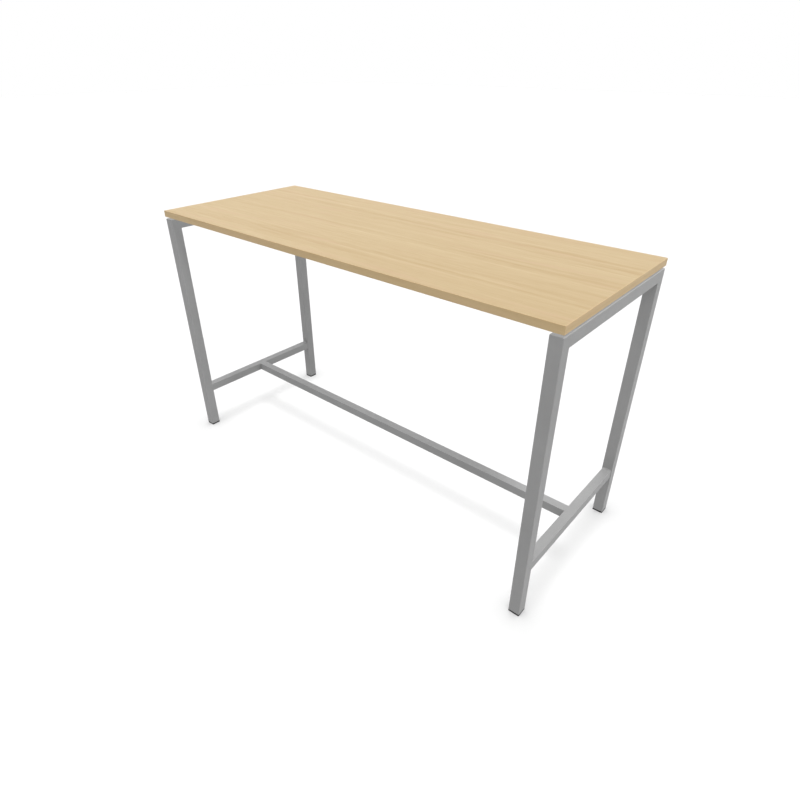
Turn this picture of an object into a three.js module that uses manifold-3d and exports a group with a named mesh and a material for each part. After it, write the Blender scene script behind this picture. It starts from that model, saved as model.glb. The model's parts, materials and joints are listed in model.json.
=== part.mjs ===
// Standing meeting table: a wood-decor top that floats on a square-tube frame with a footrest.
// Units are millimetres and +Z is up. X runs along the table, its front long side faces -Y,
// and the origin is on the floor under the middle of the top.
import * as THREE from 'three';
import { mergeVertices } from 'three/addons/utils/BufferGeometryUtils.js';
import Module from 'manifold-3d';

// Overall sizes
const TABLE_LENGTH = 1800;
const TABLE_DEPTH = 700;
const TABLE_HEIGHT = 1045;

// Table top
const TOP_THICKNESS = 25;
const BAND_THICKNESS = 2;
const BAND_EDGE_RADIUS = 1;
const SHADOW_GAP = 8;
const END_OVERHANG = 0;
const SIDE_OVERHANG = 2;

// Square steel tube: posts and top rails, and slimmer bars for foot rails, footrest and stretchers
const POST_SIZE = 40;
const BAR_SIZE = 35;
const TUBE_WALL = 2;
const TUBE_RADIUS = 2;
const LEAST_BORE_RADIUS = 1;
const WELD_GAP = 0.3;

// Places of the long members
const FOOTREST_TOP = 216;
const STRETCHER_SPACING = 380;

// Spigots that carry the long members, and their lock screws
const SPIGOT_LENGTH = 60;
const SPIGOT_WALL = 4;
const SPIGOT_RADIUS = 1.5;
const SPIGOT_CLEARANCE = 0.5;
const SPIGOT_LEAD = 5;
const SPIGOT_LEAD_DEPTH = 1.5;
const LOCK_INSET = 30;
const LOCK_DIAMETER = 6;
const LOCK_HEAD_DIAMETER = 10.5;
const LOCK_HEAD_HEIGHT = 3.3;
const LOCK_SOCKET = 4;
const LOCK_SOCKET_DEPTH = 2.2;
const LOCK_TIP = 2;

// Spacers and fixing screws of the top
const SPACER_DIAMETER = 18;
const FIXING_DIAMETER = 5;
const FIXING_HEAD_DIAMETER = 10;
const FIXING_HEAD_HEIGHT = 3.2;
const FIXING_SOCKET = 4;
const FIXING_SOCKET_DEPTH = 2.2;
const FIXING_DEPTH = 16;
const FIXING_PILOT_SPARE = 1;
const ACCESS_DIAMETER = 14;
const RAIL_FIXING_SPACING = 500;
const STRETCHER_FIXING_SPACING = 800;

// Levelling feet
const FOOT_FLANGE_HEIGHT = 6;
const PLUG_LENGTH = 40;
const PLUG_CLEARANCE = 0.5;
const PLUG_TAPER = 2;
const FIN_COUNT = 5;
const FIN_THICKNESS = 1.8;
const FIN_DEPTH = 2.5;
const FLANGE_WEB = 1;
const FLANGE_RIM = 3.5;
const GLIDE_CHAMFER = 0.8;
const GLIDE_CLEARANCE = 0.5;
const GLIDE_FLOOR = 2.5;
const HUB_HEIGHT = 5;
const HUB_WALL = 2.7;
const HUB_LIP = 1.5;
const SPINDLE_DIAMETER = 10;
const SPINDLE_SOCKET = 5;
const SPINDLE_SOCKET_DEPTH = 5;
const COLLAR_STEP = 2;
const KEY_HOLE_DIAMETER = 7;

// Shared fits and facets
const RUNNING_GAP = 0.3;
const TIP_CHAMFER = 0.8;
const CORNER_STEPS = 2;
const ROUND_STEPS = 24;
const HOLE_STEPS = 16;
const SCREW_STEPS = 12;
const DOME_STEPS = 3;
const SQUARE_SIDES = 4;
const HEXAGON_SIDES = 6;
const SAME_PLACE = 1e-4;

// Heights and faces that follow from the sizes
const TOP_UNDERSIDE = TABLE_HEIGHT - TOP_THICKNESS;
const FRAME_TOP = TOP_UNDERSIDE - SHADOW_GAP;
const FRAME_END = TABLE_LENGTH / 2 - END_OVERHANG;
const FRAME_SIDE = TABLE_DEPTH / 2 - SIDE_OVERHANG;
const FOOTREST_MIDDLE = FOOTREST_TOP - BAR_SIZE / 2;
const POST_X = FRAME_END - POST_SIZE / 2;
const POST_Y = FRAME_SIDE - POST_SIZE / 2;
const RAIL_FACE = FRAME_END - POST_SIZE;
const FOOT_RAIL_FACE = POST_X - BAR_SIZE / 2;
const STRETCHER_Y = STRETCHER_SPACING / 2;
const GLIDE_HEIGHT = FOOT_FLANGE_HEIGHT - FLANGE_WEB;
const GLIDE_DIAMETER = POST_SIZE - 2 * (FLANGE_RIM + GLIDE_CLEARANCE);
const COLLAR_DIAMETER = SPINDLE_DIAMETER + 2 * COLLAR_STEP;
const HUB_DIAMETER = COLLAR_DIAMETER + 2 * (RUNNING_GAP + HUB_WALL);
const QUARTER_TURN = Math.PI / 2;

// Sides of the table, named for someone who stands at its front
const ENDS = [
  { name: 'left', x: -1 },
  { name: 'right', x: 1 },
];
const SIDES = [
  { name: 'front', y: -1 },
  { name: 'back', y: 1 },
];

const wasm = await Module();
wasm.setup();

// Finishes: one new material for each piece
const FINISHES = {
  decor: { color: 0xdec7a1, roughness: 0.55, metalness: 0 },
  band: { color: 0xd6be97, roughness: 0.5, metalness: 0 },
  coat: { color: 0x9c9da0, roughness: 0.45, metalness: 0.1 },
  steel: { color: 0xb4b6b8, roughness: 0.35, metalness: 1 },
  moulded: { color: 0x262628, roughness: 0.6, metalness: 0 },
};

const table = new THREE.Group();

function add(name, geometry, finish, x = 0, y = 0, z = 0) {
  const piece = new THREE.Mesh(geometry, new THREE.MeshStandardMaterial(FINISHES[finish]));
  piece.name = name;
  piece.position.set(x, y, z);
  table.add(piece);
}

// Joining and cutting of closed shapes
function toSolid(geometry) {
  const bare = geometry.clone();
  bare.deleteAttribute('normal');
  bare.deleteAttribute('uv');
  const merged = mergeVertices(bare);
  return new wasm.Manifold(new wasm.Mesh({
    numProp: 3,
    vertProperties: merged.attributes.position.array,
    triVerts: merged.index.array,
  }));
}

function toGeometry(solid) {
  const { vertProperties, triVerts } = solid.getMesh();
  const geometry = new THREE.BufferGeometry();
  geometry.setAttribute('position', new THREE.BufferAttribute(vertProperties, 3));
  geometry.setIndex(new THREE.BufferAttribute(triVerts, 1));
  return geometry;
}

function cut(geometry, tools) {
  const whole = toSolid(geometry);
  return toGeometry(tools.reduce((left, tool) => left.subtract(toSolid(tool)), whole));
}

function join(first, second) {
  return toGeometry(toSolid(first).add(toSolid(second)));
}

// A square with rounded corners, centred on the origin, drawn as four arcs that straight sides join.
function roundedSquare(outline, size, radius) {
  const reach = size / 2 - radius;
  const corners = [[reach, reach], [-reach, reach], [-reach, -reach], [reach, -reach]];
  corners.forEach(([cornerX, cornerY], turn) => {
    const start = turn * QUARTER_TURN;
    outline.absarc(cornerX, cornerY, radius, start, start + QUARTER_TURN, false);
  });
  outline.closePath();
  return outline;
}

function prism(shape, length) {
  const settings = { depth: length, bevelEnabled: false, curveSegments: CORNER_STEPS };
  return new THREE.ExtrudeGeometry(shape, settings);
}

// A straight square tube along +Z from z = 0, its section centred on the Z axis and open at both ends.
function tube(size, wall, radius, length) {
  const section = roundedSquare(new THREE.Shape(), size, radius);
  const boreRadius = Math.max(radius - wall, LEAST_BORE_RADIUS);
  section.holes.push(roundedSquare(new THREE.Path(), size - 2 * wall, boreRadius));
  return prism(section, length);
}

// Slides the vertices of one end of a tube along it, by how they lie in the section.
function shapeEnd(geometry, endZ, change) {
  const { position } = geometry.attributes;
  for (let i = 0; i < position.count; i += 1) {
    if (Math.abs(position.getZ(i) - endZ) < SAME_PLACE) {
      const [x, y, z] = change(position.getX(i), position.getY(i), endZ);
      position.setXYZ(i, x, y, z);
    }
  }
  return geometry;
}

// Turns a shape made along +Z so that it runs along +X or +Y, centred on the origin, its y axis up.
function alongX(geometry, length) {
  return geometry.translate(0, 0, -length / 2).rotateX(QUARTER_TURN).rotateZ(QUARTER_TURN);
}

function alongY(geometry, length) {
  return geometry.translate(0, 0, -length / 2).rotateX(QUARTER_TURN);
}

// An upright hole or rod, and an upright solid turned from a profile of [radius, height] points.
function upright(diameter, bottom, top, steps = HOLE_STEPS) {
  const rod = new THREE.CylinderGeometry(diameter / 2, diameter / 2, top - bottom, steps);
  return rod.rotateX(QUARTER_TURN).translate(0, 0, (top + bottom) / 2);
}

function turned(profile, steps = ROUND_STEPS) {
  const points = profile.map(([radius, height]) => new THREE.Vector2(radius, height));
  return new THREE.LatheGeometry(points, steps).rotateX(QUARTER_TURN);
}

function hexagon(acrossFlats, bottom, top) {
  const acrossCorners = acrossFlats / Math.cos(Math.PI / HEXAGON_SIDES);
  return upright(acrossCorners, bottom, top, HEXAGON_SIDES);
}

// A screw that stands on its domed head: z = 0 is the bearing face under the head, the shank goes up.
function socketScrew(diameter, length, headDiameter, headHeight, socket, socketDepth) {
  const flat = diameter / 2;
  const dome = [];
  for (let step = 0; step <= DOME_STEPS; step += 1) {
    const angle = (step / DOME_STEPS) * QUARTER_TURN;
    dome.push([flat + (headDiameter / 2 - flat) * Math.sin(angle), -headHeight * Math.cos(angle)]);
  }
  const screw = turned([
    [0, -headHeight],
    ...dome,
    [diameter / 2, 0],
    [diameter / 2, length - TIP_CHAMFER],
    [diameter / 2 - TIP_CHAMFER, length],
    [0, length],
  ], SCREW_STEPS);
  return cut(screw, [hexagon(socket, -2 * headHeight, socketDepth - headHeight)]);
}

// Table top: a board with edge strips. The long strips cover the ends of the short ones.
function edgeBand(length) {
  const strip = new THREE.Shape();
  const out = BAND_THICKNESS - BAND_EDGE_RADIUS;
  const high = TOP_THICKNESS - BAND_EDGE_RADIUS;
  strip.moveTo(0, 0);
  strip.absarc(out, BAND_EDGE_RADIUS, BAND_EDGE_RADIUS, -QUARTER_TURN, 0, false);
  strip.absarc(out, high, BAND_EDGE_RADIUS, 0, QUARTER_TURN, false);
  strip.lineTo(0, TOP_THICKNESS);
  strip.closePath();
  return alongY(prism(strip, length), length);
}

function fixingPlaces() {
  const onRails = ENDS.flatMap((end) => SIDES.map((side) => ({
    name: `rail_${end.name}_${side.name}`,
    x: end.x * POST_X,
    y: side.y * RAIL_FIXING_SPACING / 2,
  })));
  const onStretchers = SIDES.flatMap((side) => ENDS.map((end) => ({
    name: `stretcher_${side.name}_${end.name}`,
    x: end.x * STRETCHER_FIXING_SPACING / 2,
    y: side.y * STRETCHER_Y,
  })));
  return [...onRails, ...onStretchers];
}

function buildTop() {
  const length = TABLE_LENGTH - 2 * BAND_THICKNESS;
  const depth = TABLE_DEPTH - 2 * BAND_THICKNESS;
  const board = new THREE.BoxGeometry(length, depth, TOP_THICKNESS);
  board.translate(0, 0, TOP_UNDERSIDE + TOP_THICKNESS / 2);
  const pilotTop = TOP_UNDERSIDE + FIXING_DEPTH + FIXING_PILOT_SPARE;
  const pilots = fixingPlaces().map(({ x, y }) => (
    upright(FIXING_DIAMETER + 2 * RUNNING_GAP, TOP_UNDERSIDE - SHADOW_GAP, pilotTop).translate(x, y, 0)
  ));
  add('top_panel', cut(board, pilots), 'decor');
  SIDES.forEach((side) => {
    const band = edgeBand(TABLE_LENGTH).rotateZ(side.y * QUARTER_TURN);
    add(`edge_band_${side.name}`, band, 'band', 0, side.y * depth / 2, TOP_UNDERSIDE);
  });
  ENDS.forEach((end) => {
    const band = edgeBand(depth).rotateZ(end.x > 0 ? 0 : Math.PI);
    add(`edge_band_${end.name}`, band, 'band', end.x * length / 2, 0, TOP_UNDERSIDE);
  });
}

// End frames: posts and top rails meet in mitres, and the lower rails stand between the posts.
function buildEndFrames() {
  const postHeight = FRAME_TOP - FOOT_FLANGE_HEIGHT;
  const railLength = 2 * FRAME_SIDE;
  const railGap = WELD_GAP * Math.SQRT2;
  const footRailLength = 2 * (FRAME_SIDE - POST_SIZE);
  ENDS.forEach((end) => {
    SIDES.forEach((side) => {
      const post = tube(POST_SIZE, TUBE_WALL, TUBE_RADIUS, postHeight);
      shapeEnd(post, postHeight, (x, y, z) => [x, y, z - POST_SIZE / 2 + side.y * y]);
      const name = `leg_${side.name}_${end.name}`;
      add(name, post, 'coat', end.x * POST_X, side.y * POST_Y, FOOT_FLANGE_HEIGHT);
    });
    const rail = tube(POST_SIZE, TUBE_WALL, TUBE_RADIUS, railLength);
    shapeEnd(rail, railLength, (x, y, z) => [x, y, z - POST_SIZE / 2 + y - railGap]);
    shapeEnd(rail, 0, (x, y, z) => [x, y, z + POST_SIZE / 2 - y + railGap]);
    alongY(rail, railLength).translate(0, 0, FRAME_TOP - POST_SIZE / 2);
    const holes = SIDES.flatMap((side) => fixingHoles(0, side.y * RAIL_FIXING_SPACING / 2, POST_SIZE));
    add(`top_rail_${end.name}`, cut(rail, holes), 'coat', end.x * POST_X);
    const footRail = tube(BAR_SIZE, TUBE_WALL, TUBE_RADIUS, footRailLength);
    alongY(footRail, footRailLength);
    add(`foot_rail_${end.name}`, footRail, 'coat', end.x * POST_X, 0, FOOTREST_MIDDLE);
  });
}

// A fixing screw needs a close hole in the tube's upper wall, and a wide one below to put it in through.
function fixingHoles(x, y, tubeHeight) {
  const middle = FRAME_TOP - tubeHeight / 2;
  return [
    upright(FIXING_DIAMETER + 2 * RUNNING_GAP, middle, FRAME_TOP + SHADOW_GAP).translate(x, y, 0),
    upright(ACCESS_DIAMETER, FRAME_TOP - 2 * tubeHeight, middle).translate(x, y, 0),
  ];
}

// Long members: each is a tube that slides over a spigot at each end and is locked by a screw from below.
function lockHole(x, bottom) {
  const hole = upright(LOCK_DIAMETER + 2 * RUNNING_GAP, bottom - BAR_SIZE, bottom + 2 * SPIGOT_WALL);
  return hole.translate(x, 0, 0);
}

function lockScrew() {
  const length = TUBE_WALL + SPIGOT_CLEARANCE + SPIGOT_WALL + LOCK_TIP;
  return socketScrew(
    LOCK_DIAMETER, length, LOCK_HEAD_DIAMETER, LOCK_HEAD_HEIGHT, LOCK_SOCKET, LOCK_SOCKET_DEPTH,
  );
}

function spigot() {
  const size = BAR_SIZE - 2 * (TUBE_WALL + SPIGOT_CLEARANCE);
  const stub = tube(size, SPIGOT_WALL, SPIGOT_RADIUS, SPIGOT_LENGTH - SPIGOT_LEAD);
  const lead = tube(size, SPIGOT_WALL, SPIGOT_RADIUS, SPIGOT_LEAD);
  const slimmer = (place) => {
    const onWall = Math.abs(place) > size / 2 - SPIGOT_WALL;
    return onWall ? place - Math.sign(place) * SPIGOT_LEAD_DEPTH : place;
  };
  shapeEnd(lead, SPIGOT_LEAD, (x, y, z) => [slimmer(x), slimmer(y), z]);
  return join(stub, lead.translate(0, 0, SPIGOT_LENGTH - SPIGOT_LEAD));
}

function buildLongMember({ name, tag, face, y, middle, extraHoles }) {
  const length = 2 * face;
  const bottom = middle - BAR_SIZE / 2;
  const body = alongX(tube(BAR_SIZE, TUBE_WALL, TUBE_RADIUS, length), length).translate(0, 0, middle);
  const lockX = face - LOCK_INSET;
  const lockHoles = ENDS.map((end) => lockHole(end.x * lockX, bottom));
  add(name, cut(body, [...lockHoles, ...extraHoles]), 'coat', 0, y);
  ENDS.forEach((end) => {
    const stub = alongX(spigot(), SPIGOT_LENGTH);
    stub.rotateZ(end.x < 0 ? 0 : Math.PI).translate(end.x * (face - SPIGOT_LENGTH / 2), 0, middle);
    add(`spigot_${tag}_${end.name}`, cut(stub, [lockHole(end.x * lockX, bottom)]), 'steel', 0, y);
    add(`lock_screw_${tag}_${end.name}`, lockScrew(), 'steel', end.x * lockX, y, bottom);
  });
}

function buildLongMembers() {
  buildLongMember({
    name: 'footrest_beam',
    tag: 'footrest',
    face: FOOT_RAIL_FACE,
    y: 0,
    middle: FOOTREST_MIDDLE,
    extraHoles: [],
  });
  SIDES.forEach((side) => buildLongMember({
    name: `top_stretcher_${side.name}`,
    tag: `stretcher_${side.name}`,
    face: RAIL_FACE,
    y: side.y * STRETCHER_Y,
    middle: FRAME_TOP - BAR_SIZE / 2,
    extraHoles: ENDS.flatMap((end) => fixingHoles(end.x * STRETCHER_FIXING_SPACING / 2, 0, BAR_SIZE)),
  }));
}

// Fixing of the top: spacers on the frame, and screws whose heads bear on the tube's upper wall inside.
function fixingScrew() {
  const length = TUBE_WALL + SHADOW_GAP + FIXING_DEPTH;
  return socketScrew(
    FIXING_DIAMETER, length, FIXING_HEAD_DIAMETER, FIXING_HEAD_HEIGHT, FIXING_SOCKET, FIXING_SOCKET_DEPTH,
  );
}

function buildFixings() {
  const bore = FIXING_DIAMETER / 2 + RUNNING_GAP;
  const rim = SPACER_DIAMETER / 2;
  const section = [[bore, 0], [rim, 0], [rim, SHADOW_GAP], [bore, SHADOW_GAP], [bore, 0]];
  fixingPlaces().forEach(({ name, x, y }) => {
    add(`spacer_${name}`, turned(section, HOLE_STEPS), 'moulded', x, y, FRAME_TOP);
    add(`fixing_screw_${name}`, fixingScrew(), 'steel', x, y, FRAME_TOP - TUBE_WALL);
  });
}

// Levelling feet. The finned plug is a square turning: a profile carried round in four steps.
function footInsert() {
  const reach = POST_SIZE / 2 - TUBE_WALL - PLUG_CLEARANCE;
  const core = reach - FIN_DEPTH;
  const top = FOOT_FLANGE_HEIGHT + PLUG_LENGTH;
  const pitch = (PLUG_LENGTH - PLUG_TAPER) / FIN_COUNT;
  const profile = [[0, 0], [core, 0]];
  for (let fin = 0; fin < FIN_COUNT; fin += 1) {
    const finTop = FOOT_FLANGE_HEIGHT + (fin + 1) * pitch;
    const finBottom = finTop - FIN_THICKNESS;
    profile.push([core, finBottom], [reach, finBottom], [reach, finTop], [core, finTop]);
  }
  profile.push([core - PLUG_TAPER, top], [0, top]);
  const corners = profile.map(([half, height]) => [half * Math.SQRT2, height]);
  const plug = turned(corners, SQUARE_SIDES).rotateZ(QUARTER_TURN / 2);
  const outline = roundedSquare(new THREE.Shape(), POST_SIZE, TUBE_RADIUS);
  const flange = prism(outline, FOOT_FLANGE_HEIGHT);
  const recess = upright(GLIDE_DIAMETER + 2 * GLIDE_CLEARANCE, -GLIDE_HEIGHT, GLIDE_HEIGHT, ROUND_STEPS);
  const pocketTop = GLIDE_HEIGHT + HUB_HEIGHT + RUNNING_GAP;
  const pocket = upright(HUB_DIAMETER + 2 * GLIDE_CLEARANCE, 0, pocketTop, ROUND_STEPS);
  const bore = upright(SPINDLE_DIAMETER + 2 * RUNNING_GAP, 0, top + PLUG_TAPER, ROUND_STEPS);
  return cut(join(flange, plug), [recess, pocket, bore]);
}

// The glide stands on the floor. Its hub closes over the spindle's collar and leaves a hole for the key.
function footGlide() {
  const rim = GLIDE_DIAMETER / 2;
  const hubTop = GLIDE_HEIGHT + HUB_HEIGHT;
  const pocket = COLLAR_DIAMETER / 2 + RUNNING_GAP;
  const lip = SPINDLE_DIAMETER / 2 + RUNNING_GAP;
  const keyHole = KEY_HOLE_DIAMETER / 2;
  return turned([
    [keyHole, 0],
    [rim - GLIDE_CHAMFER, 0],
    [rim, GLIDE_CHAMFER],
    [rim, GLIDE_HEIGHT],
    [HUB_DIAMETER / 2, GLIDE_HEIGHT],
    [HUB_DIAMETER / 2, hubTop],
    [lip, hubTop],
    [lip, hubTop - HUB_LIP],
    [pocket, hubTop - HUB_LIP],
    [pocket, GLIDE_FLOOR],
    [keyHole, GLIDE_FLOOR],
    [keyHole, 0],
  ]);
}

function footSpindle() {
  const collarTop = GLIDE_HEIGHT + HUB_HEIGHT - HUB_LIP - RUNNING_GAP;
  const shank = SPINDLE_DIAMETER / 2;
  const tip = FOOT_FLANGE_HEIGHT + PLUG_LENGTH;
  const rod = turned([
    [0, GLIDE_FLOOR],
    [COLLAR_DIAMETER / 2, GLIDE_FLOOR],
    [COLLAR_DIAMETER / 2, collarTop],
    [shank, collarTop],
    [shank, tip - TIP_CHAMFER],
    [shank - TIP_CHAMFER, tip],
    [0, tip],
  ]);
  return cut(rod, [hexagon(SPINDLE_SOCKET, 0, GLIDE_FLOOR + SPINDLE_SOCKET_DEPTH)]);
}

function buildFeet() {
  ENDS.forEach((end) => SIDES.forEach((side) => {
    const place = [end.x * POST_X, side.y * POST_Y];
    const tag = `${side.name}_${end.name}`;
    add(`foot_insert_${tag}`, footInsert(), 'moulded', ...place);
    add(`foot_glide_${tag}`, footGlide(), 'moulded', ...place);
    add(`foot_spindle_${tag}`, footSpindle(), 'steel', ...place);
  }));
}

buildTop();
buildEndFrames();
buildLongMembers();
buildFixings();
buildFeet();

export default table;
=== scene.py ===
# %% [markdown]
# # A standing meeting table
#
# The real table is a board with a pale oak decor that floats on a welded frame of square steel tube.
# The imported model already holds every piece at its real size, so nothing is moved or fitted here.
# This lesson makes the surfaces finer, one kind of piece at a time, and then gives each its finish.

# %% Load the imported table
import json
import math

import bmesh
import bpy
import numpy as np
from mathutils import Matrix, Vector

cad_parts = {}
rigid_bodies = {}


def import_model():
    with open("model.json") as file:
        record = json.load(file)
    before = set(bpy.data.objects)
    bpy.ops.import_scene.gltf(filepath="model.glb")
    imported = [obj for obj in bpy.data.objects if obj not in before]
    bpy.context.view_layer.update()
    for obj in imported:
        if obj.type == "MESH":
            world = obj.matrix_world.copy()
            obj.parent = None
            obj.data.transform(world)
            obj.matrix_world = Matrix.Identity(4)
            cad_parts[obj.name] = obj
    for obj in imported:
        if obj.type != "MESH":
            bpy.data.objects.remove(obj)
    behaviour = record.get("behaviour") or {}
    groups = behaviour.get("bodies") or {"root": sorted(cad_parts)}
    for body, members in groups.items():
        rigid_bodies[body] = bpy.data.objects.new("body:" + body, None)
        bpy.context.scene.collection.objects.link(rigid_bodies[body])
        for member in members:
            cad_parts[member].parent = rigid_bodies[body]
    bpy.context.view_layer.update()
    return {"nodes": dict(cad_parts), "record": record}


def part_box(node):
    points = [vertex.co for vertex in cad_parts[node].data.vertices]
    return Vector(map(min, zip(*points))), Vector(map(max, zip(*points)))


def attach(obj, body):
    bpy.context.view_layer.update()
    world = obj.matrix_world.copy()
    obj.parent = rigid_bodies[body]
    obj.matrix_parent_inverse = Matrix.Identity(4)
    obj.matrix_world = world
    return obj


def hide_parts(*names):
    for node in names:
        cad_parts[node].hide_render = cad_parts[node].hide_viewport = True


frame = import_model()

# %% [markdown]
# ## Sizes come from the frame
#
# Lengths in Blender are metres, so a millimetre gets a name of its own.
# The box of a node says where it lies, and the record says which body carries it and which finish it has.
# Reading both here means that a change in the model reaches every finer surface by itself.

# %% Look up boxes, bodies and finishes
MM = 0.001
ENDS = {"left": -1, "right": 1}
SIDES = {"front": -1, "back": 1}

record = frame["record"]
slot_of = {row["node"]: row["material_slot"] for row in record["subparts"]}
body_of = {node: body for body, nodes in record["behaviour"]["bodies"].items() for node in nodes}


def corners(node):
    """The lowest and the highest corner of a node, as arrays."""
    low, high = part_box(node)
    return np.array(low), np.array(high)


def nodes_like(start):
    """Every node whose name begins with start."""
    return sorted(node for node in frame["nodes"] if node.startswith(start))


top_low, top_high = corners("top_panel")
leg_low, leg_high = corners("leg_back_right")
FRAME_TOP = leg_high[2]
FRAME_SIDE = leg_high[1]
print("board from", top_low.round(4), "to", top_high.round(4), "frame top", round(FRAME_TOP, 4))

# %% [markdown]
# ## From arrays to meshes
#
# Each piece below is a grid of points: rows along a path, columns round a section.
# Columns always close on themselves, and rows do when a wall turns back through a bore.
# One could call a modelling operator for each shape, but a grid is one formula on whole arrays,
# and the same few lines turn any grid into a closed mesh with its faces outwards.

# %% Turn grids into closed meshes
SAME_POINT = 1e-6
CREASE = math.radians(35)


def grid_faces(rows, columns, ring):
    """Cell (i, j) of the grid has the corners (i, j), (i, j+1), (i+1, j+1) and (i+1, j)."""
    row, column = np.meshgrid(np.arange(rows if ring else rows - 1), np.arange(columns), indexing="ij")
    below, beside = (row + 1) % rows, (column + 1) % columns
    places = [(row, column), (row, beside), (below, beside), (below, column)]
    return np.stack([r * columns + c for r, c in places], -1).reshape(-1, len(places))


def grid_mesh(name, grids, ring, edge=None):
    """One mesh from grids of points (rows, columns, 3); edge is a number for each point, 1 on worn edges."""
    points = np.concatenate([grid.reshape(-1, 3) for grid in grids])
    firsts = np.cumsum([0] + [grid.shape[0] * grid.shape[1] for grid in grids])
    faces = np.concatenate([first + grid_faces(*grid.shape[:2], ring) for first, grid in zip(firsts, grids)])
    mesh = bpy.data.meshes.new(name)
    mesh.vertices.add(len(points))
    mesh.vertices.foreach_set("co", points.astype(np.float32).ravel())
    mesh.loops.add(faces.size)
    mesh.loops.foreach_set("vertex_index", faces.astype(np.int32).ravel())
    mesh.polygons.add(len(faces))
    mesh.polygons.foreach_set("loop_start", np.arange(0, faces.size, faces.shape[1], dtype=np.int32))
    mesh.update(calc_edges=True)
    if edge is not None:
        measure = mesh.attributes.new("edge", "FLOAT", "POINT")
        measure.data.foreach_set("value", edge.astype(np.float32).ravel())
    close_mesh(mesh)
    return mesh


def close_mesh(mesh):
    """Merges points that coincide, drops cells that shrank to nothing, and turns the faces outwards."""
    shape = bmesh.new()
    shape.from_mesh(mesh)
    bmesh.ops.remove_doubles(shape, verts=shape.verts, dist=SAME_POINT)
    bmesh.ops.dissolve_degenerate(shape, edges=shape.edges, dist=SAME_POINT)
    bmesh.ops.recalc_face_normals(shape, faces=shape.faces)
    shape.to_mesh(mesh)
    shape.free()
    crease_mesh(mesh)


def crease_mesh(mesh):
    """Shades smoothly, apart from edges that turn by more than the crease angle."""
    mesh.shade_smooth()
    mesh.set_sharp_from_angle(angle=CREASE)


print("grid helpers ready")

# %% [markdown]
# ## A piece stands for its node
#
# A finer surface rides on the body that its node rides on, and hides the node.
# The node itself stays where it is for the motion. The piece's name says how it was finished.

# %% Hang pieces on the frame
WORDS = {"oak_edge": "strip", "frame_coat": "coated", "zinc_steel": "plated", "black_plastic": "moulded"}


def new_object(data):
    """An object at the origin that holds a mesh, a lamp or a camera and has its name."""
    thing = bpy.data.objects.new(data.name, data)
    bpy.context.scene.collection.objects.link(thing)
    return thing


def stand_for(node, grids, ring, edge=None):
    """Makes the finer surface of one node from its grids, and hangs it on the node's body."""
    name = f"{node}_{WORDS[slot_of[node]]}"
    piece = new_object(grid_mesh(name, grids, ring, edge))
    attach(piece, body_of[node])
    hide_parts(node)
    return piece


print("finishes", sorted(set(slot_of.values())))

# %% [markdown]
# ## Edge strips
#
# The raw edge of the board is closed by a plastic strip in the same decor, glued on and trimmed.
# Its section is a rectangle whose two outer edges are quarter circles. A box with a Bevel modifier
# would come close, but here the section is carried along the edge, and at the ends it is drawn in
# along a quarter circle too, as the trimming cutter leaves it. The long strips cover the short ones.

# %% Carry the strip's section along each edge
STRIP_EDGE = 1.0 * MM
STRIP_END = 0.8 * MM
STRIP_SEAM = 0.2 * MM
FLAT_GUARD = 0.4 * MM
QUARTER = math.pi / 2
ARC_STEPS = 8
ARC = np.linspace(0, QUARTER, ARC_STEPS + 1)


def strip_section(thick, high, inset):
    """Points (out, up) of the section for each inset: an arc below, the outer face, an arc above.

    A point on an arc is the arc's centre + radius (cos, sin), and the inset comes off the radius. Beside
    the face each arc has a guard point on the flat, so that the flat also shades flat.
    """
    angle = np.concatenate([ARC - QUARTER, [0, 0], ARC])
    slide = np.concatenate([0 * ARC, [FLAT_GUARD, -FLAT_GUARD], 0 * ARC])
    centre = np.repeat([STRIP_EDGE, high - STRIP_EDGE], len(angle) // 2)
    radius = STRIP_EDGE - inset
    out = thick - STRIP_EDGE + radius * np.cos(angle)
    up = centre + radius * np.sin(angle) + slide
    return np.pad(out, ((0, 0), (1, 1))), np.concatenate([inset, up, high - inset], -1)


def strip_grid(thick, high, length, end_radius):
    """Rows (out, along, up) of one strip: a point at each end, arcs that draw the section in, and the run."""
    swing = ARC[:, None]
    inset = end_radius * (1 - np.cos(swing))
    along = length / 2 - end_radius * (1 - np.sin(swing))
    out, up = strip_section(thick, high, inset)
    half = np.stack(np.broadcast_arrays(out, along, up), -1)
    tip = np.broadcast_to([thick / 2, length / 2, high / 2], half[:1].shape)
    half = np.concatenate([half, tip])
    return np.concatenate([half[::-1] * [1, -1, 1], half])


def lay_strip(name, across, sign, end_radius):
    """Puts one strip on the board's face that looks along sign times the axis across (0 is x, 1 is y)."""
    node = f"edge_band_{name}"
    low, high = corners(node)
    size = high - low
    grid = strip_grid(size[across], size[2], size[1 - across], end_radius)
    place = np.empty_like(grid)
    place[..., across] = sign * (top_high[across] + grid[..., 0])
    place[..., 1 - across] = grid[..., 1]
    place[..., 2] = low[2] + grid[..., 2]
    return stand_for(node, [place], ring=False)


long_strips = [lay_strip(name, 1, sign, STRIP_END) for name, sign in SIDES.items()]
short_strips = [lay_strip(name, 0, sign, STRIP_SEAM) for name, sign in ENDS.items()]
print("strips", [piece.name for piece in long_strips + short_strips])

# %% [markdown]
# ## Square tube
#
# Drawn steel tube has rounded outer corners, a thin wall and a bore with tighter corners.
# The outline has as many points outside as in the bore, so a tube is one grid that runs along the
# outside, turns in over the end, comes back through the bore and closes. Each end has a cut of its
# own: a function that says how far along the tube each point of the outline lies.

# %% Draw the tube's outline
TUBE_WALL = 2 * MM
TUBE_RADIUS = 2 * MM
BORE_RADIUS = 1 * MM
# The signs of u and v at the four corners of a section, one after another.
CORNERS = np.array([(1, 1), (-1, 1), (-1, -1), (1, -1)])


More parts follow.
